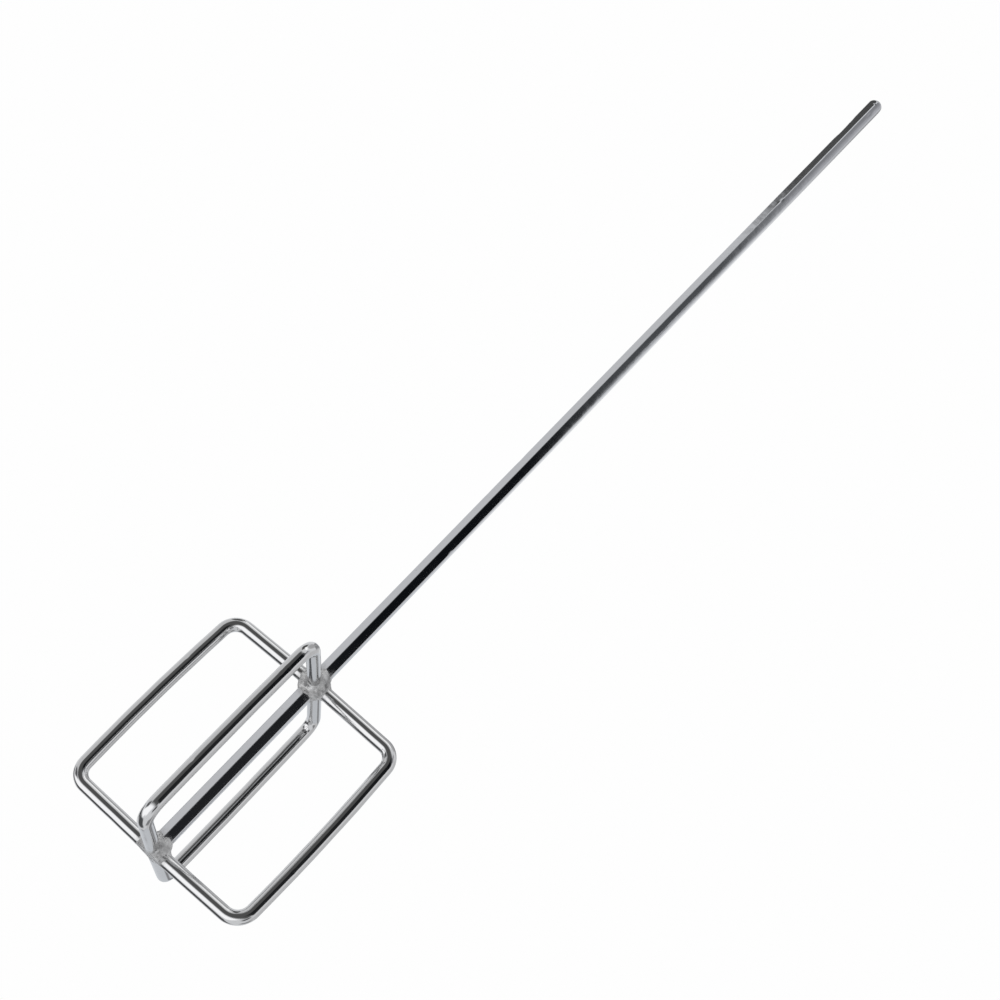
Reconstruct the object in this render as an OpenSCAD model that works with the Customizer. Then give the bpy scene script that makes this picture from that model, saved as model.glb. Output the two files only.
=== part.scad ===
// Cage mixing paddle for mortar and plaster: a hexagonal bar that a drill chuck drives,
// and a cage of four bent rod bows welded to its lower end.
// Millimetres, +Z up the bar, origin on the bar's axis at the underside of the cage.

/* [Shaft] */

// Overall length, from the underside of the cage to the end of the shank
overall_len = 712; // [400:2:900]
// Width of the hexagonal bar across its flats
shaft_flats = 9.5; // [9:0.1:11]
// Turn of the bar's corners from the right-hand bow, in degrees
shaft_turn = 33; // [0:1:59]
// Gap between the bar's lower end and the surface that the cage stands on
shaft_lift = 0.6; // [0.4:0.1:2]
// Length of the rounded taper at the end of the shank
tip_taper_len = 5; // [3:0.5:8]
// Radius of the taper's rounded outline
tip_round_r = 7; // [6:0.5:30]

/* [Cage] */

// Width of the cage between the centre lines of opposite bow sides
cage_w = 125; // [100:1:150]
// Height of the cage between the centre lines of its lower and upper arms
cage_h = 124; // [100:1:150]
// Diameter of the bent rod
rod_d = 8.2; // [7:0.1:9]
// Centre-line radius of the rod's bends
bend_r = 9.8; // [8:0.1:16]

/* [Welds] */

// Reach of the weld metal along the arms, from the bar's axis
weld_reach = 13; // [12:0.5:16]
// Rise of the weld metal along the bar, from the centre line of the arms
weld_rise = 9; // [8:0.5:12]
// Radius of the hollow face between two neighbouring arms
weld_hollow_r = 8; // [6:0.5:10]

/* [Hidden] */

$fn = 96;

// Angle of each bow about the bar, from +X; each weld follows the bow of its angle
right_turn = 0;
back_turn = 90;
left_turn = 180;
front_turn = 270;

// Hexagonal bar: its corner radius, and where the rounded taper starts
shaft_corner_r = shaft_flats / (2 * cos(30));
tip_start_z = overall_len - tip_taper_len;

// Rod: levels of the arms, and the lengths of the straight runs between bends
rod_r = rod_d / 2;
lower_arm_z = rod_r;
upper_arm_z = lower_arm_z + cage_h;
arm_len = cage_w / 2 - bend_r;
side_len = cage_h - 2 * bend_r;

// Weld: the hollow face bites a little into the arms, and the lower welds stop
// a little above the surface that the cage stands on
hollow_bite = 0.5;
hollow_xy = rod_r + weld_hollow_r - hollow_bite;
weld_clear = 0.3;
weld_neck_r = 6.2;
weld_shoulder_r = 9.2;
weld_shoulder_z = 0.73 * weld_rise;

rod_grey = [0.78, 0.79, 0.80];
bar_grey = [0.70, 0.71, 0.73];
weld_grey = [0.56, 0.56, 0.55];

// Hexagonal prism on the bar's axis
module hex_bar(from_z, to_z) {
    translate([0, 0, from_z])
        rotate([0, 0, shaft_turn])
            cylinder(r = shaft_corner_r, h = to_z - from_z, $fn = 6);
}

// Half outline of the bar's envelope: straight, then rounded down to the end face
module bar_outline() {
    square([shaft_corner_r, tip_start_z]);
    intersection() {
        translate([shaft_corner_r - tip_round_r, tip_start_z])
            circle(r = tip_round_r);
        translate([0, tip_start_z])
            square([shaft_corner_r, tip_taper_len]);
    }
}

// Hexagonal bar, from inside the lower welds to the end of the shank
module shaft() {
    color(bar_grey)
        intersection() {
            hex_bar(shaft_lift, overall_len);
            rotate_extrude()
                bar_outline();
        }
}

// Round rod along +X
module rod_x(length) {
    rotate([0, 90, 0])
        cylinder(r = rod_r, h = length);
}

// Quarter bend of the rod in the XZ plane, its angles measured from +X towards +Z
module quarter_bend(start_angle) {
    rotate([90, 0, 0])
        rotate_extrude(start = start_angle, angle = 90)
            translate([bend_r, 0])
                circle(r = rod_r);
}

// One rod bent into a C, with both ends on the bar's axis
module bent_rod() {
    translate([0, 0, lower_arm_z]) {
        rod_x(arm_len);
        translate([arm_len, 0, bend_r]) {
            quarter_bend(-90);
            translate([bend_r, 0, 0])
                cylinder(r = rod_r, h = side_len);
            translate([0, 0, side_len])
                quarter_bend(0);
        }
        translate([0, 0, cage_h])
            rod_x(arm_len);
    }
}

// Quarter of space around +X, bounded by the two diagonals
module quarter() {
    translate([0, 0, -rod_d])
        linear_extrude(height = cage_h + 4 * rod_d)
            polygon([[0, 0], [cage_w, -cage_w], [cage_w, cage_w]]);
}

// One bow, its two ends cut to sit against the bar and beside the next rods
module bow(turn) {
    color(rod_grey)
        rotate([0, 0, turn])
            intersection() {
                difference() {
                    bent_rod();
                    rotate([0, 0, -turn])
                        hex_bar(-rod_d, overall_len);
                }
                quarter();
            }
}

// Plan of one weld: the corner between +X and +Y, with a hollow outer face
module weld_plan() {
    difference() {
        square(2 * weld_reach);
        translate([hollow_xy, hollow_xy])
            circle(r = weld_hollow_r);
    }
}

// Turned envelope of the weld metal at one end of the cage
module weld_collar() {
    rotate_extrude()
        polygon([[0, -weld_rise],
                 [weld_neck_r, -weld_rise],
                 [weld_shoulder_r, -weld_shoulder_z],
                 [weld_reach, 0],
                 [weld_shoulder_r, weld_shoulder_z],
                 [weld_neck_r, weld_rise],
                 [0, weld_rise]]);
}

// Straight rod through the bar's axis, where two opposite arms lie in the weld
module arm_space() {
    arm_seam_turn = 30;
    rotate([0, 90, 0])
        rotate([0, 0, arm_seam_turn])
            cylinder(r = rod_r, h = 4 * weld_reach, center = true);
}

// Weld metal in the corner between two neighbouring arms and the bar
module weld(turn, arm_z) {
    color(weld_grey)
        difference() {
            rotate([0, 0, turn])
                translate([0, 0, arm_z])
                    difference() {
                        intersection() {
                            weld_collar();
                            translate([0, 0, -2 * weld_rise])
                                linear_extrude(height = 4 * weld_rise)
                                    weld_plan();
                        }
                        arm_space();
                        rotate([0, 0, 90])
                            arm_space();
                    }
            hex_bar(-rod_d, overall_len);
            translate([0, 0, weld_clear - weld_rise])
                cube([4 * weld_reach, 4 * weld_reach, 2 * weld_rise], center = true);
        }
}

module bow_right() { bow(right_turn); }
module bow_back() { bow(back_turn); }
module bow_left() { bow(left_turn); }
module bow_front() { bow(front_turn); }

module weld_lower_back_right() { weld(right_turn, lower_arm_z); }
module weld_lower_back_left() { weld(back_turn, lower_arm_z); }
module weld_lower_front_left() { weld(left_turn, lower_arm_z); }
module weld_lower_front_right() { weld(front_turn, lower_arm_z); }

module weld_upper_back_right() { weld(right_turn, upper_arm_z); }
module weld_upper_back_left() { weld(back_turn, upper_arm_z); }
module weld_upper_front_left() { weld(left_turn, upper_arm_z); }
module weld_upper_front_right() { weld(front_turn, upper_arm_z); }

shaft();
bow_right();
bow_back();
bow_left();
bow_front();
weld_lower_back_right();
weld_lower_back_left();
weld_lower_front_left();
weld_lower_front_right();
weld_upper_back_right();
weld_upper_back_left();
weld_upper_front_left();
weld_upper_front_right();
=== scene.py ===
"""Looks of the mortar mixing paddle: a plated hexagonal bar with a cage of four bent rod bows,
joined by rough weld metal. Metres, in the part's own frame: +Z up the bar, origin under it."""
import math

import bpy
import numpy as np
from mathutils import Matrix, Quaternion, Vector


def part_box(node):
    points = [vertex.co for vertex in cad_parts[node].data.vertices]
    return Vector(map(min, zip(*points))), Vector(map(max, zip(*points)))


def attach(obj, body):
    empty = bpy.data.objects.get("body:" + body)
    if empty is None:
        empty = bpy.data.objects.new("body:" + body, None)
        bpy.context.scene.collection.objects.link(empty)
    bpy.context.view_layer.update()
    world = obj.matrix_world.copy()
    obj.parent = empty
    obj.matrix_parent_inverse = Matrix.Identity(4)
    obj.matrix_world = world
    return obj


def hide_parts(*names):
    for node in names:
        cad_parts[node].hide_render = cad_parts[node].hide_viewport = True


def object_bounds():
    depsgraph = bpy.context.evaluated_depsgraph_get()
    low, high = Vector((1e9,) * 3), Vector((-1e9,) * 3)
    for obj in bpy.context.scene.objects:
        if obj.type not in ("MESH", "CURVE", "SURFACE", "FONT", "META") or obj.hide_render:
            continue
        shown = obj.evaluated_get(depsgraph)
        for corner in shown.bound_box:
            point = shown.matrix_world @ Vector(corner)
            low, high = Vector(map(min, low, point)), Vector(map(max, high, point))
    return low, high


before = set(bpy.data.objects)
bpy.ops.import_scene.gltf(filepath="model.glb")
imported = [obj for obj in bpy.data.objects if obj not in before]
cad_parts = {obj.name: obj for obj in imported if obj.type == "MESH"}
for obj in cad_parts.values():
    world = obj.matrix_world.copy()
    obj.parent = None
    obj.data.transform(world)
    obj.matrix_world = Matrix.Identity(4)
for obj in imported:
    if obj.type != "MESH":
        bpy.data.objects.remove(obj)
cad_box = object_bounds()
MM = 0.001

# Sizes shared by the pieces: the boxes come from the frame, the rest repeats the CAD's own numbers
BAR_LO, BAR_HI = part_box("shaft")
CAGE_LO, CAGE_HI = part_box("bow_right")
ROD_R = 4.1 * MM
LOWER_ARM = CAGE_LO.z + ROD_R     # height of the lower arms' centre lines
UPPER_ARM = CAGE_HI.z - ROD_R
CAGE_HALF = CAGE_HI.x - ROD_R     # from the bar's axis to a side's centre line
BAR_FLATS = 9.5 * MM
BAR_TURN = math.radians(33)
TIP_LEN = 5 * MM                  # rounded end of the shank: its length and its rounding
TIP_ROUND = 7 * MM


# ---------------------------------------------------------------- mesh helpers

def smooth(t, lo, hi):
    """0 below lo, 1 above hi, with soft ends; works on arrays."""
    t = np.clip((t - lo) / (hi - lo), 0, 1)
    return t * t * (3 - 2 * t)


def lumps(p, wavelength, seed, waves=14):
    """Smooth repeatable bumps between about -1 and 1 at the points p, with that wavelength."""
    rng = np.random.default_rng(seed)
    total = np.zeros(p.shape[:-1])
    for _ in range(waves):
        k = rng.normal(size=3)
        k *= 2 * math.pi / (wavelength * rng.uniform(0.7, 1.5) * np.linalg.norm(k))
        total += np.sin(p @ k + rng.uniform(0, 2 * math.pi))
    return total / math.sqrt(waves)


def turn_between(angle, at):
    """Turn in degrees from at to angle, between -180 and 180; works on arrays."""
    return (angle - at + 180) % 360 - 180


def piece(name, points, faces, stands_for, material, uvs=None):
    """A shown piece of the part, in place of the CAD nodes it stands for."""
    mesh = bpy.data.meshes.new(name)
    mesh.from_pydata([tuple(p) for p in points], [], faces)
    if uvs is not None:
        layer = mesh.uv_layers.new(name="UVMap")
        for loop in mesh.loops:
            layer.data[loop.index].uv = uvs[loop.index]
    mesh.shade_smooth()
    mesh.materials.append(material)
    obj = bpy.data.objects.new(name, mesh)
    bpy.context.scene.collection.objects.link(obj)
    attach(obj, "root")
    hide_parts(*stands_for)


def rings_to_faces(rings, around):
    """Quads between neighbouring rings of the same count, with a cap on each end."""
    faces = []
    for i in range(rings - 1):
        low, high = i * around, (i + 1) * around
        for j in range(around):
            k = (j + 1) % around
            faces.append((low + j, low + k, high + k, high + j))
    faces.append(tuple(range(around - 1, -1, -1)))
    faces.append(tuple((rings - 1) * around + j for j in range(around)))
    return faces


# ---------------------------------------------------------------- the hexagonal bar

HALF_SIDE = math.radians(30)   # half the turn that one of the six flats takes up
CORNER_R = 0.70 * MM           # rolled rounding of the bar's long edges
CROWN = 0.085 * MM             # how far a flat's middle stands out from its edges
BAR_STEP = 2 * MM              # spacing of the bar's rings
TIP_STEP = 0.25 * MM           # and of those in the rounded end
TIP_LEAD = 1 * MM              # how far under the rounded end those begin
END_BREAK = 0.25 * MM          # broken edge of the end face: how far it is drawn in at the face,
END_SHARE = 0.3                # and the share of it just under the face
DENTS = (  # height up the bar (metres), angle about it (degrees), depth, half length, half width (degrees)
    (0.673, 213, 0.36 * MM, 8.0 * MM, 18),
    (0.684, 210, 0.20 * MM, 3.0 * MM, 14),
    (0.316, 214, 0.12 * MM, 3.5 * MM, 12),
    (0.285, 218, 0.10 * MM, 2.0 * MM, 14),
    (0.588, 273, 0.14 * MM, 1.8 * MM, 12),
    (0.272, 274, 0.10 * MM, 1.4 * MM, 10),
    (0.240, 333, 0.12 * MM, 1.5 * MM, 10),
    (0.696, 300, 0.08 * MM, 1.2 * MM, 12),
    (0.640, 276, 0.07 * MM, 2.4 * MM, 9),
    (0.705, 270, 0.13 * MM, 1.4 * MM, 16),
)


def bar_section(per_side=15):
    """Angles and radii of the bar's outline: crowned flats that meet in rounded corners."""
    half = BAR_FLATS / 2
    corner = half / math.cos(HALF_SIDE)
    centre = (half - CORNER_R) / math.cos(HALF_SIDE)
    angles, radii = [], []
    for side in range(6):
        for i in range(per_side):
            off = math.radians(-30 + 60 * (i + 0.5) / per_side)
            flat = half / math.cos(off) - CROWN * (math.tan(off) / math.tan(HALF_SIDE)) ** 2
            to_corner = HALF_SIDE - abs(off)
            reach = centre * math.cos(to_corner)
            gap = CORNER_R ** 2 - (centre * math.sin(to_corner)) ** 2
            rounded = reach + math.sqrt(gap) if gap > 0 else corner
            radii.append(min(flat, rounded))
            angles.append(BAR_TURN + math.radians(30 + 60 * side) + off)
    return np.array(angles), np.array(radii)


def tip_limit(z):
    """Largest radius at height z, which the rounded end of the shank sets."""
    start = BAR_HI.z - TIP_LEN
    widest = BAR_FLATS / (2 * math.cos(HALF_SIDE))
    if z <= start:
        return widest
    return widest - TIP_ROUND + math.sqrt(TIP_ROUND ** 2 - (z - start) ** 2)


def bar_levels():
    """Heights of the bar's rings, each with how far its ring is drawn in for the broken edge."""
    tip = BAR_HI.z - TIP_LEN - TIP_LEAD
    heights = list(np.arange(BAR_LO.z, tip, BAR_STEP))
    heights += list(np.arange(tip, BAR_HI.z - 0.2 * MM, TIP_STEP))
    levels = [(z, 0.0) for z in heights]
    return levels + [(BAR_HI.z - 0.1 * MM, END_BREAK * END_SHARE), (BAR_HI.z, END_BREAK)]


def make_bar(material):
    """The bar: one ring of points for each level, pressed in at the dents."""
    angles, radii = bar_section()
    levels = bar_levels()
    points = []
    for z, drawn_in in levels:
        r = np.minimum(radii, tip_limit(z)) - drawn_in
        for middle, at, depth, length, width in DENTS:
            turn = turn_between(np.degrees(angles), at)
            r = r - depth * np.exp(-((z - middle) / length) ** 4 - (turn / width) ** 2)
        for a, rr in zip(angles, r):
            points.append((rr * math.cos(a), rr * math.sin(a), z))
    faces = rings_to_faces(len(levels), len(angles))
    piece("hexagonal_bar", points, faces, ["shaft"], material)


# ---------------------------------------------------------------- the bent rods

SIDE_BOW = 1.4 * MM        # how far a side's middle stands out from its ends
ROD_START = 2.0 * MM       # where a rod's centre line starts, hidden inside the bar
CORNER_INSET = 0.15 * MM   # how far an arm's corner lies inside the end of the bowed side
BEND_END = 1.02            # in bend radii from the corner: where a bend aims along the side,
ARM_END = 1.05             # where an arm's straight run stops,
SIDE_END = 1.15            # and where a side's run stops
ARM_POINTS = 26            # points along an arm, and along a side: enough for the dings
SIDE_POINTS = 110
ROD_WAVER = 0.006          # share of its radius by which a rod's surface wavers,
ROD_TRIM = 0.008           # and by which it is trimmed to stay inside the CAD's box
ROD_WAVE = 14 * MM         # length of that waver
# This hand-welded cage isn't regular. For each bow: its node, turn about the bar in degrees, distance
# of the side's middle, bend radii (lower, upper), rise of the lower arm, fall of the upper arm, and how
# far the side leans
BOWS = {
    "bow_right_rod": ("bow_right", 0.46, CAGE_HALF,
                      (11.0 * MM, 9.2 * MM), 0.7 * MM, 1.1 * MM, 0.35 * MM),
    "bow_back_rod": ("bow_back", 89.54, CAGE_HALF - 0.5 * MM,
                     (8.2 * MM, 9.8 * MM), 0.0, 2.0 * MM, 0.0),
    "bow_left_rod": ("bow_left", 180.46, CAGE_HALF - 0.9 * MM,
                     (9.0 * MM, 10.0 * MM), 1.0 * MM, 1.1 * MM, -0.3 * MM),
    "bow_front_rod": ("bow_front", 269.54, CAGE_HALF - 0.5 * MM,
                      (11.5 * MM, 10.5 * MM), 1.6 * MM, 0.2 * MM, 0.0),
}
DINGS = {  # height, angle about the rod (degrees), depth, half length, half width (degrees)
    "bow_front_rod": ((108 * MM, 14, 0.22 * MM, 1.3 * MM, 15),
                      (104 * MM, 2, 0.14 * MM, 1.0 * MM, 14),
                      (41 * MM, -22, 0.24 * MM, 0.9 * MM, 15)),
    "bow_right_rod": ((43 * MM, 301, 0.24 * MM, 0.9 * MM, 14),),
    "bow_left_rod": ((92 * MM, 70, 0.16 * MM, 1.1 * MM, 16),),
}


def arm(start, end, corner, radius):
    """Points from start to end that are clear of the bend at the corner."""
    run = [start + (end - start) * t for t in np.linspace(0, 1, ARM_POINTS)]
    return [p for p in run if corner.x - p.x > radius * ARM_END]


def bend(start, corner, end, radius, steps=14):
    """Round corner between two straight runs, in the (outward, up) plane."""
    a = (start - corner).normalized()
    b = (end - corner).normalized()
    half = a.angle(b) / 2
    cut = radius / math.tan(half)
    centre = corner + (a + b).normalized() * radius / math.sin(half)
    p = (corner + a * cut - centre).normalized()
    q = (corner + b * cut - centre).normalized()
    return [centre + p.slerp(q, i / steps) * radius for i in range(steps + 1)]


def bow_path(side, low_r, high_r, rise, fall, lean):
    """Centre line of a bow in the (outward, up) plane, from the bar out, up and back."""
    low, high = LOWER_ARM + rise, UPPER_ARM - fall
    middle, span = (low + high) / 2, (high - low) / 2

    def bowed(z):
        t = (z - middle) / span
        return Vector((min(side - SIDE_BOW * t * t + lean * t, side), z, 0))

    start = Vector((ROD_START, LOWER_ARM, 0))
    end = Vector((ROD_START, UPPER_ARM, 0))
    up = bowed(low + low_r * BEND_END)
    down = bowed(high - high_r * BEND_END)
    low_corner = Vector((up.x - CORNER_INSET, low, 0))
    high_corner = Vector((down.x - CORNER_INSET, high, 0))
    path = arm(start, low_corner, low_corner, low_r)
    path += bend(start, low_corner, up, low_r)
    path += [bowed(z) for z in np.linspace(low + low_r * SIDE_END, high - high_r * SIDE_END, SIDE_POINTS)]
    path += bend(down, high_corner, end, high_r)
    path += arm(high_corner, end, high_corner, high_r)
    return path


def ding_depth(name, z, angle):
    """How far the named rod is pressed in at height z and that angle about the rod."""
    total = 0.0
    for middle, at, depth, length, width in DINGS.get(name, ()):
        turn = turn_between(math.degrees(angle), at)
        total += depth * math.exp(-((z - middle) / length) ** 2 - (turn / width) ** 2)
    return total


def rod_uvs(faces, along, around):
    """UVs in metres, along and around a rod, for its quads; the two caps get none of their own."""
    uvs = []
    for face in faces[:-2]:
        for k, v in enumerate(face):
            ring, j = divmod(v, around)
            # a ring's last quad ends at its first point, one full turn on
            j += around if (j == 0 and k in (1, 2)) else 0
            uvs.append((along[ring], j / around * 2 * math.pi * ROD_R))
    return uvs + [(0, 0)] * (2 * around)


def make_bow(name, material, around=32):
    """One bent rod: a ring of points round each point of its path, then a slight waver."""
    node, turn, side, (low_r, high_r), rise, fall, lean = BOWS[name]
    path = bow_path(side, low_r, high_r, rise, fall, lean)
    spin = Quaternion((0, 0, 1), math.radians(turn))
    length = 0.0
    points, middles, along = [], [], []
    for i, p in enumerate(path):
        heading = (path[min(i + 1, len(path) - 1)] - path[max(i - 1, 0)]).normalized()
        length += (p - path[i - 1]).length if i else 0
        along.append(length)
        centre = Vector((p.x, 0, p.y))
        across = Vector((heading.y, 0, -heading.x))
        middles.append(tuple(spin @ centre))
        for j in range(around):
            a = 2 * math.pi * j / around
            off = across * math.cos(a) + Vector((0, 1, 0)) * math.sin(a)
            points.append(tuple(spin @ (centre + off * (ROD_R - ding_depth(name, p.y, a)))))
    points = np.array(points)
    middles = np.repeat(np.array(middles), around, axis=0)
    swell = ROD_WAVER * lumps(points, ROD_WAVE, round(turn) + 3) - ROD_TRIM
    points = points + (points - middles) * swell[:, None]
    faces = rings_to_faces(len(path), around)
    piece(name, points, faces, [node], material, rod_uvs(faces, along, around))


# ---------------------------------------------------------------- the weld metal

WELD_REACH = 10.7 * MM     # how far the weld metal spreads from the middle of a joint
WELD_FADE = 2.6 * MM       # over which its edge thins out
WEB = 6.6 * MM             # blend width of the webs between bar and arms
SKIN = 0.34 * MM           # thickness of the weld metal that lies on the rods
BAR_SINK = 0.1 * MM        # how much lower it lies on the bar's flats
BARE = 0.5 * MM            # how far it lies under the rods' surface where there is none
CLOSE = 1.5 * MM           # how much more that grows beyond its reach, to end the webs,
CLOSE_FROM = 1 * MM        # and where that begins and ends
CLOSE_TO = 3 * MM
LAP = 0.10 * MM            # how far neighbouring beads pass the arms' middle planes
UNDER = 0.25 * MM          # how far it covers the bar's lower end
FLATTEN = (1, 1, 1.02)     # the reach is a little shorter along the bar
EDGE_COARSE, EDGE_COARSE_WAVE = 1.1 * MM, 6 * MM       # raggedness of the edge
EDGE_FINE, EDGE_FINE_WAVE = 0.5 * MM, 2.6 * MM
BEAD_COARSE, BEAD_COARSE_WAVE = 0.20 * MM, 4.2 * MM    # unevenness of the surface
BEAD_FINE, BEAD_FINE_WAVE = 0.03 * MM, 1.9 * MM
WELD_STEP = 0.42 * MM      # spacing of the grid that the surface is found on,
GRID_ROOM = 1.6 * MM       # the grid's room beyond the reach,
GRID_BACK = -0.9 * MM      # where it starts, behind the arms' middle planes,
GRID_UNDER = 0.3 * MM      # and how far under the bar's lower end it may start, plus a step
JOINTS = (("lower", LOWER_ARM, 40), ("upper", UPPER_ARM, 90))   # name, height, seed
CORNERS = (("back_right", 0), ("back_left", 90), ("front_left", 180), ("front_right", 270))


def rod_distance(p, axis, centre):
    """Distance from the points p to a rod that starts at the centre and runs along the axis."""
    out = p @ axis
    side = np.linalg.norm(p - centre - out[..., None] * axis, axis=-1) - ROD_R
    return np.where(out > 0, side, np.linalg.norm(p - centre, axis=-1) - ROD_R)


def bar_distance(p):
    """Distance from the points p to the bar's flats, sunk a little."""
    turns = BAR_TURN + np.radians(30 + 60 * np.arange(6))
    facets = np.stack([np.cos(turns), np.sin(turns)])
    return (p[..., :2] @ facets).max(-1) - BAR_FLATS / 2 + BAR_SINK


def blend_min(a, b, width):
    """The smaller of two distances, rounded where they are within that width of each other."""
    h = np.clip(0.5 + 0.5 * (b - a) / width, 0, 1)
    return b + (a - b) * h - width * h * (1 - h)


def weld_field(p, a, b, level, seed):
    """Negative inside the weld metal of one corner, between the arms along a and b."""
    centre = np.array([0, 0, level])
    arms = blend_min(rod_distance(p, a, centre), rod_distance(p, b, centre), WEB)
    body = blend_min(arms, bar_distance(p), WEB)
    reach = np.linalg.norm((p - centre) * np.array(FLATTEN), axis=-1)
    ragged = reach + EDGE_COARSE * lumps(p, EDGE_COARSE_WAVE, seed)
    ragged = ragged + EDGE_FINE * lumps(p, EDGE_FINE_WAVE, seed + 1)
    fade = 1 - smooth(ragged, WELD_REACH - WELD_FADE, WELD_REACH)
    bead = BEAD_COARSE * lumps(p, BEAD_COARSE_WAVE, seed + 2)
    bead = bead + BEAD_FINE * lumps(p, BEAD_FINE_WAVE, seed + 3)
    body = body - (SKIN + bead) * fade + BARE * (1 - fade)
    body = body + CLOSE * smooth(reach, WELD_REACH + CLOSE_FROM, WELD_REACH + CLOSE_TO)
    return np.maximum(np.maximum(body, -(p @ a) - LAP), -(p @ b) - LAP)


def points_on_zero(grid, d, inside, cells):
    """For each crossed cell, the middle of its edges' zero crossings; and the crossed cells' numbers."""
    total, hits = np.zeros(cells + (3,)), np.zeros(cells)

    def at(array, c):
        return array[c[0]:c[0] + cells[0], c[1]:c[1] + cells[1], c[2]:c[2] + cells[2]]

    for c in [(i, j, k) for i in (0, 1) for j in (0, 1) for k in (0, 1)]:
        for axis in range(3):
            if c[axis]:
                continue
            e = tuple(v + (1 if n == axis else 0) for n, v in enumerate(c))
            crossed = at(inside, c) != at(inside, e)
            da, db = at(d, c), at(d, e)
            t = np.where(crossed, da / np.where(crossed, da - db, 1), 0)
            place = at(grid, c) + t[..., None] * (at(grid, e) - at(grid, c))
            total += np.where(crossed[..., None], place, 0)
            hits += crossed
    used = hits > 0
    index = np.full(cells, -1)
    index[used] = np.arange(used.sum())
    return total[used] / hits[used][:, None], index


def faces_on_zero(inside, index, cells):
    """A quad round each grid edge that crosses the zero level, facing outward."""
    faces = []
    for axis in range(3):
        u, v = (axis + 1) % 3, (axis + 2) % 3
        ahead = [slice(None)] * 3
        ahead[axis] = slice(1, None)
        back = [slice(None)] * 3
        back[axis] = slice(None, -1)
        for c in np.argwhere(inside[tuple(back)] != inside[tuple(ahead)]):
            if min(c[u], c[v]) < 1 or c[u] >= cells[u] or c[v] >= cells[v]:
                continue
            ring = []
            for du, dv in ((-1, -1), (0, -1), (0, 0), (-1, 0)):
                n = c.copy()
                n[u] += du
                n[v] += dv
                ring.append(int(index[tuple(n)]))
            faces.append(tuple(ring if inside[tuple(c)] else ring[::-1]))
    return faces


def skin_over(field, low, high, step):
    """Quads over the zero level of a field sampled on a grid: one point per crossed cell."""
    counts = np.ceil((high - low) / step).astype(int) + 1
    axes = [low[i] + step * np.arange(counts[i]) for i in range(3)]
    grid = np.stack(np.meshgrid(*axes, indexing="ij"), -1)
    d = field(grid)
    inside = d < 0
    cells = tuple(c - 1 for c in counts)
    points, index = points_on_zero(grid, d, inside, cells)
    return points, faces_on_zero(inside, index, cells)


def weld_grid(a, b, level):
    """Lowest and highest corner of the grid for the weld metal between the arms along a and b."""
    reach = WELD_REACH + GRID_ROOM
    ends = np.stack([GRID_BACK * a + GRID_BACK * b, reach * a + reach * b])
    low, high = ends.min(0), ends.max(0)
    low[2] = max(level - reach, BAR_LO.z - GRID_UNDER) - WELD_STEP
    high[2] = level + reach
    return low, high


def make_weld(name, turn, level, seed, material):
    """The weld metal of one corner, between the arm at that turn and the next arm."""
    a = np.array([math.cos(math.radians(turn)), math.sin(math.radians(turn)), 0]).round(9)
    b = np.array([-a[1], a[0], 0])

    def field(p):
        return np.maximum(weld_field(p, a, b, level, seed), BAR_LO.z - UNDER - p[..., 2])

    low, high = weld_grid(a, b, level)
    points, faces = skin_over(field, low, high, WELD_STEP)
    piece(name + "_metal", points, faces, [name], material)


# ---------------------------------------------------------------- materials

class Nodes:
    """Short way to add and link nodes."""

    def __init__(self, tree):
        self.tree = tree

    def add(self, kind, **values):
        node = self.tree.nodes.new(kind)
        for key, value in values.items():
            setattr(node, key, value)
        return node

    def to(self, socket, value):
        """Links a socket's value, or sets it where it is a number or colour."""
        if hasattr(value, "is_output"):
            self.tree.links.new(value, socket)
        else:
            socket.default_value = value

    def fill(self, node, *values):
        """Fills a node's first inputs in order, and gives its first output."""
        for socket, value in zip(node.inputs, values):
            self.to(socket, value)
        return node.outputs[0]

    def math(self, operation, a, b=0.0, c=0.0):
        return self.fill(self.add("ShaderNodeMath", operation=operation), a, b, c)

    def steps(self, value, lo, hi, to_lo=0.0, to_hi=1.0):
        node = self.add("ShaderNodeMapRange", interpolation_type="SMOOTHSTEP")
        return self.fill(node, value, lo, hi, to_lo, to_hi)

    def split(self, vector):
        node = self.add("ShaderNodeSeparateXYZ")
        self.to(node.inputs[0], vector)
        return node.outputs

    def noise(self, vector, scale, detail, roughness):
        node = self.add("ShaderNodeTexNoise")
        self.to(node.inputs["Vector"], vector)
        node.inputs["Scale"].default_value = scale
        node.inputs["Detail"].default_value = detail
        node.inputs["Roughness"].default_value = roughness
        return node.outputs["Fac"]

    def stretched(self, vector, scale):
        node = self.add("ShaderNodeMapping")
        self.to(node.inputs["Vector"], vector)
        node.inputs["Scale"].default_value = scale
        return node.outputs[0]

    def mix(self, factor, a, b):
        node = self.add("ShaderNodeMix", data_type="RGBA")
        self.to(node.inputs[0], factor)
        self.to(node.inputs[6], a)
        self.to(node.inputs[7], b)
        return node.outputs[2]

    def bump(self, height, strength, distance, normal=None):
        node = self.add("ShaderNodeBump")
        node.inputs["Strength"].default_value = strength
        node.inputs["Distance"].default_value = distance
        self.to(node.inputs["Height"], height)
        if normal is not None:
            self.to(node.inputs["Normal"], normal)
        return node.outputs[0]


def new_material(name):
    """An empty node material, and its nodes."""
    material = bpy.data.materials.new(name)
    material.use_nodes = True
    material.node_tree.nodes.clear()
    return material, Nodes(material.node_tree)


def new_metal(name, metallic):
    """A material with a principled shader, its nodes, the shader and the object's coordinates."""
    material, n = new_material(name)
    shader = n.add("ShaderNodeBsdfPrincipled")
    n.to(n.add("ShaderNodeOutputMaterial").inputs["Surface"], shader.outputs[0])
    shader.inputs["Metallic"].default_value = metallic
    return material, n, shader, n.add("ShaderNodeTexCoord").outputs


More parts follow.
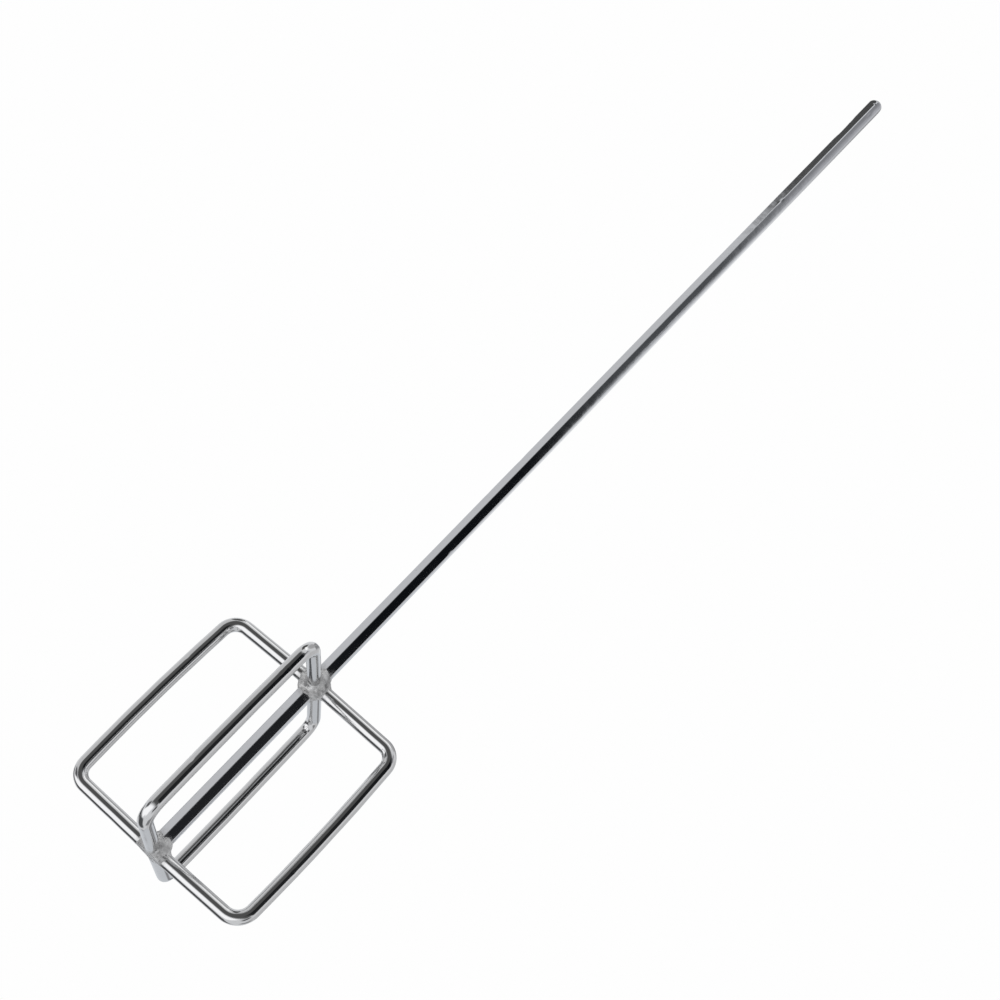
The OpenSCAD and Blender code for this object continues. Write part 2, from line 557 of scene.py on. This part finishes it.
SOOT_REACH = 11 * MM     # how far the soot lies around a joint,
SOOT_SOFT = 3.0 * MM     # how softly it ends,
SOOT_RAGGED = 7 * MM     # and how raggedly
SOOT_COLOUR = (0.34, 0.34, 0.335, 1)
SOOT_SHARE = 0.55        # share of that colour where the soot is thickest,
SOOT_ROUGH = 0.26        # and what it adds to the roughness there
SPECK_COLOUR = (0.20, 0.19, 0.18, 1)
SPECK_SHARE = 0.35
SPECK_ROUGH = 0.15
CLOUD_SHADE = 0.94       # the darker of the plating's two shades, as a share of its tint
WELD_DARK = (0.42, 0.42, 0.418, 1)
WELD_LIGHT = (0.62, 0.62, 0.615, 1)
SMUDGE_COLOUR = (0.15, 0.15, 0.152, 1)
SMUDGE_SHARE = 0.50


def near_joints(n, place):
    """1 close to the two welded joints, 0 away from them, with a ragged edge."""
    x, y, z = n.split(place)
    flat = n.math("ADD", n.math("MULTIPLY", x, x), n.math("MULTIPLY", y, y))
    low = n.math("SUBTRACT", z, LOWER_ARM)
    high = n.math("SUBTRACT", z, UPPER_ARM)
    near = n.math("MINIMUM", n.math("MULTIPLY", low, low), n.math("MULTIPLY", high, high))
    far = n.math("SQRT", n.math("ADD", flat, near))
    frayed = n.noise(place, scale=420, detail=4, roughness=0.6)
    ragged = n.math("MULTIPLY_ADD", frayed, SOOT_RAGGED, far)
    edge = SOOT_REACH + SOOT_RAGGED / 2
    return n.steps(ragged, edge - SOOT_SOFT, edge + SOOT_SOFT, 1.0, 0.0)


def plated(name, tint, haze, line_scale, use_uv):
    """Bright plated steel: faint drawing lines, cloudy sheen, specks, and soot by the welds."""
    material, n, shader, coords = new_metal(name, metallic=1.0)
    place = coords["Object"]
    run = coords["UV"] if use_uv else place
    clouds = n.noise(place, scale=55, detail=4, roughness=0.55)
    specks = n.steps(n.noise(place, scale=900, detail=2, roughness=0.5), 0.70, 0.78)
    soot = near_joints(n, place)
    cloudy = tuple(c * CLOUD_SHADE for c in tint)
    base = n.mix(clouds, cloudy + (1,), tint + (1,))
    base = n.mix(n.math("MULTIPLY", specks, SPECK_SHARE), base, SPECK_COLOUR)
    base = n.mix(n.math("MULTIPLY", soot, SOOT_SHARE), base, SOOT_COLOUR)
    n.to(shader.inputs["Base Color"], base)
    rough = n.math("MULTIPLY_ADD", clouds, haze, haze * 0.6)
    rough = n.math("MULTIPLY_ADD", specks, SPECK_ROUGH, rough)
    rough = n.math("MULTIPLY_ADD", soot, SOOT_ROUGH, rough)
    n.to(shader.inputs["Roughness"], rough)
    drawn = n.noise(n.stretched(run, line_scale), scale=1.0, detail=3, roughness=0.6)
    lines = n.bump(drawn, strength=0.35, distance=0.06 * MM)
    wavy = n.noise(place, scale=130, detail=2, roughness=0.4)
    waves = n.bump(wavy, strength=0.18, distance=0.30 * MM, normal=lines)
    fine = n.noise(place, scale=1300, detail=3, roughness=0.6)
    grain = n.bump(fine, strength=0.10, distance=0.06 * MM, normal=waves)
    n.to(shader.inputs["Normal"], grain)
    return material


def weld_metal():
    """Rough grey weld metal: oxide mottling, fine ripples and dark smudges."""
    material, n, shader, coords = new_metal("weld_metal", metallic=0.75)
    place = coords["Object"]
    mottle = n.noise(place, scale=200, detail=3, roughness=0.45)
    smudge = n.steps(n.noise(place, scale=150, detail=3, roughness=0.5), 0.52, 0.68)
    base = n.mix(n.steps(mottle, 0.32, 0.68), WELD_DARK, WELD_LIGHT)
    base = n.mix(n.math("MULTIPLY", smudge, SMUDGE_SHARE), base, SMUDGE_COLOUR)
    n.to(shader.inputs["Base Color"], base)
    n.to(shader.inputs["Roughness"], n.steps(mottle, 0.3, 0.7, to_lo=0.52, to_hi=0.34))
    rippled = n.noise(place, scale=360, detail=2, roughness=0.45)
    ripples = n.bump(rippled, strength=0.28, distance=0.35 * MM)
    fine = n.noise(place, scale=1500, detail=3, roughness=0.6)
    grain = n.bump(fine, strength=0.07, distance=0.10 * MM, normal=ripples)
    n.to(shader.inputs["Normal"], grain)
    return material


# ---------------------------------------------------------------- studio

TENT_COLOUR = (0.90, 0.91, 0.93, 1)
PLAIN_WHITE = (0.991, 0.991, 0.991, 1)   # what the camera sees behind the part, and the colour of the floor's painted glow
# azimuth (0 is +X, 90 is +Y), elevation, half width, half height, soft edge, all in degrees, and colour;
# a later panel covers an earlier one
PANELS = (
    (80, 56, 34, 16.5, 4, (0.34, 0.34, 0.35)),            # dimmer, high on the right
    (0, 86, 181, 17, 4, (0.55, 0.55, 0.56)),              # dimmer roof
    (30, 12, 44, 34, 8, (0.72, 0.72, 0.73)),              # right wall
    (203, 12, 26, 27, 6, (0.79, 0.79, 0.80)),             # left wall
    (200, 50, 30, 12.2, 1.2, (0.100, 0.100, 0.098)),      # dark gap high on the left
    (345, 12, 14, 30, 7, (0.90, 0.90, 0.92)),             # narrow window, front right
    (320, 45, 16, 9, 4, (0.33, 0.33, 0.345)),             # dimmer, high in front
    (336, 45, 12, 9, 6, (0.74, 0.74, 0.77)),              # lighter, beside it
    (90, -2, 24, 22, 3, (0.69, 0.715, 0.75)),             # cooler wall behind
    (73, 6, 7, 5, 3, (0.28, 0.28, 0.29)),                 # dark strips in it
    (91, -22.5, 7, 3, 1.5, (0.40, 0.40, 0.42)),
    (240, -52, 62, 23, 7, (1.48, 1.48, 1.50)),            # bright bounce in front, low
    (118, -62, 50, 24, 8, (0.098, 0.101, 0.106)),         # dark low behind
    (275, 6, 44, 28, 8, (0.116, 0.116, 0.116)),           # dark front, where the viewer stands
    (302, 28.5, 23.7, 9.2, 2.5, (0.100, 0.104, 0.110)),   # its upper part
    (306, 11, 26, 16.5, 3, (0.022, 0.023, 0.025)),        # its darker part
    (306, 21, 26, 6.5, 3, (0.006, 0.007, 0.009)),         # its blackest part
    (247, 58, 34, 6, 3, (1.5, 1.5, 1.5)),                 # thin bright strips overhead
    (250, 43, 18, 5, 4, (0.95, 0.95, 0.95)),
    (150, -24, 13, 14, 5, (0.10, 0.10, 0.105)),           # dark gaps low at the back and sides
    (206, -24, 20, 10, 4, (0.14, 0.14, 0.145)),
    (38, -26, 13, 13, 5, (0.30, 0.30, 0.31)),
    (334, -24, 11, 12, 5, (0.10, 0.10, 0.105)),
)
LAMP_AT = Vector((-0.5, -0.7, 1.6))
LAMP_SIZE = 0.9
LAMP_WATTS = 4.0
FLOOR_RADIUS = 3.0
FLOOR_DROP = 0.3 * MM                    # how far the floor lies under the part
FLOOR_COLOUR = (0.86, 0.86, 0.86, 1)
FLOOR_NEAR = 0.15                        # metres from the part where the floor is matt, with the least painted glow,
FLOOR_FAR = 1.3                          # and where its painted glow makes it plain near-white
CAMERA_AT = Vector((0.21134, -0.83244, -0.08998))
CAMERA_TURN = 14.051      # degrees about +Z, from straight in front
CAMERA_RISE = -23.752     # degrees above the level; it looks up at the part
CAMERA_ROLL = 44.049      # degrees, clockwise for the picture
CAMERA_LENS = 56.20       # millimetres
CAMERA_SENSOR = 36.0      # its width, in millimetres


def panel_mask(n, place, azimuth, elevation, half_w, half_h, soft):
    """1 inside a soft-edged panel of the surround, 0 outside it."""
    r = math.radians
    x, y, z = n.split(place)
    c, s = math.cos(r(azimuth)), math.sin(r(azimuth))
    ahead = n.math("MULTIPLY_ADD", x, c, n.math("MULTIPLY", y, s))
    side = n.math("MULTIPLY_ADD", y, c, n.math("MULTIPLY", x, -s))
    turn = n.math("ABSOLUTE", n.math("ARCTAN2", side, ahead))
    rise = n.math("ABSOLUTE", n.math("SUBTRACT", n.math("ARCSINE", z), r(elevation)))
    wide = n.steps(turn, r(half_w - soft), r(half_w + soft), 1.0, 0.0)
    tall = n.steps(rise, r(half_h - soft), r(half_h + soft), 1.0, 0.0)
    return n.math("MULTIPLY", wide, tall)


def make_light():
    """A soft white tent with dark gaps; seen directly it is plain near-white."""
    world = bpy.data.worlds.new("studio")
    bpy.context.scene.world = world
    world.use_nodes = True
    world.node_tree.nodes.clear()
    n = Nodes(world.node_tree)
    place = n.add("ShaderNodeTexCoord").outputs["Generated"]
    colour = TENT_COLOUR
    for azimuth, elevation, half_w, half_h, soft, level in PANELS:
        mask = panel_mask(n, place, azimuth, elevation, half_w, half_h, soft)
        colour = n.mix(mask, colour, level + (1,))
    tent = n.add("ShaderNodeBackground")
    n.to(tent.inputs["Color"], colour)
    plain = n.add("ShaderNodeBackground")
    plain.inputs["Color"].default_value = PLAIN_WHITE
    seen = n.add("ShaderNodeLightPath").outputs["Is Camera Ray"]
    shown = n.fill(n.add("ShaderNodeMixShader"), seen, tent.outputs[0], plain.outputs[0])
    n.to(n.add("ShaderNodeOutputWorld").inputs["Surface"], shown)


def make_overhead():
    """Weak soft lamp overhead, not reflected in the metal: it gives the floor and the welds soft shade."""
    lamp = bpy.data.lights.new("overhead_softbox", "AREA")
    lamp.shape = "SQUARE"
    lamp.size = LAMP_SIZE
    lamp.energy = LAMP_WATTS
    holder = bpy.data.objects.new("overhead_softbox", lamp)
    holder.location = LAMP_AT
    aim = Vector((0, 0, UPPER_ARM)) - holder.location
    holder.rotation_euler = aim.to_track_quat("-Z", "Y").to_euler()
    holder.visible_camera = False
    holder.visible_glossy = False
    bpy.context.scene.collection.objects.link(holder)


def floor_mesh(around=96, rings=12):
    """A round disc in rings that widen outward."""
    points, faces = [(0, 0, 0)], []
    for i in range(1, rings + 1):
        r = FLOOR_RADIUS * (i / rings) ** 1.5
        for j in range(around):
            a = 2 * math.pi * j / around
            points.append((r * math.cos(a), r * math.sin(a), 0))
    for j in range(around):
        faces.append((0, 1 + j, 1 + (j + 1) % around))
    for i in range(rings - 1):
        a, b = 1 + i * around, 1 + (i + 1) * around
        for j in range(around):
            k = (j + 1) % around
            faces.append((a + j, b + j, b + k, a + k))
    mesh = bpy.data.meshes.new("studio_floor")
    mesh.from_pydata(points, [], faces)
    return mesh


def floor_with_painted_glow():
    """Matt and pale near the part with a quarter share of painted glow, plain near-white from painted glow
    further out, and clear from below.
    """
    material, n = new_material("floor_with_painted_glow")
    matte = n.add("ShaderNodeBsdfDiffuse")
    matte.inputs["Color"].default_value = FLOOR_COLOUR
    # painted light: the floor glows, though it is no lamp, to look pale and to fade into the white behind
    painted_floor_glow = n.add("ShaderNodeEmission")
    painted_floor_glow.inputs["Color"].default_value = PLAIN_WHITE
    clear = n.add("ShaderNodeBsdfTransparent")
    length = n.add("ShaderNodeVectorMath", operation="LENGTH")
    n.to(length.inputs[0], n.add("ShaderNodeTexCoord").outputs["Object"])
    painted_glow_share = n.steps(length.outputs["Value"], FLOOR_NEAR, FLOOR_FAR, to_lo=0.25, to_hi=1.0)
    top = n.fill(n.add("ShaderNodeMixShader"), painted_glow_share, matte.outputs[0], painted_floor_glow.outputs[0])
    below = n.add("ShaderNodeNewGeometry").outputs["Backfacing"]
    shown = n.fill(n.add("ShaderNodeMixShader"), below, top, clear.outputs[0])
    n.to(n.add("ShaderNodeOutputMaterial").inputs["Surface"], shown)
    return material


def make_floor():
    """Plain pale floor, pale partly from its painted glow, just under the cage, one-sided, so that the
    camera can look up past it.
    """
    mesh = floor_mesh()
    mesh.materials.append(floor_with_painted_glow())
    floor = bpy.data.objects.new("studio_floor", mesh)
    floor.location.z = cad_box[0].z - FLOOR_DROP
    floor.visible_glossy = False
    floor.visible_diffuse = False
    floor.visible_shadow = False
    bpy.context.scene.collection.objects.link(floor)


def make_camera():
    """The photograph's viewpoint: from low in front, rolled so that the bar runs corner to corner."""
    data = bpy.data.cameras.new("photo_view")
    data.lens = CAMERA_LENS
    data.sensor_width = CAMERA_SENSOR
    data.clip_start = 0.01
    data.clip_end = 50
    camera = bpy.data.objects.new("photo_view", data)
    bpy.context.scene.collection.objects.link(camera)
    a, e = math.radians(CAMERA_TURN), math.radians(CAMERA_RISE)
    back = Vector((math.sin(a) * math.cos(e), -math.cos(a) * math.cos(e), math.sin(e)))
    level = (-back).to_track_quat("-Z", "Y")
    camera.rotation_mode = "QUATERNION"
    camera.rotation_quaternion = level @ Quaternion((0, 0, 1), math.radians(CAMERA_ROLL))
    camera.location = CAMERA_AT
    bpy.context.scene.camera = camera


make_camera()
make_light()
make_overhead()
make_floor()
bpy.context.scene.view_settings.view_transform = "Standard"

bar_finish = plated("plated_bar", (0.606, 0.617, 0.636), 0.075, (900, 900, 9), False)
rod_finish = plated("plated_rod", (0.625, 0.627, 0.628), 0.085, (12, 900, 900), True)
weld_finish = weld_metal()
make_bar(bar_finish)
for bow_name in BOWS:
    make_bow(bow_name, rod_finish)
for joint, level, seed in JOINTS:
    for corner, turn in CORNERS:
        make_weld(f"weld_{joint}_{corner}", turn, level, seed, weld_finish)
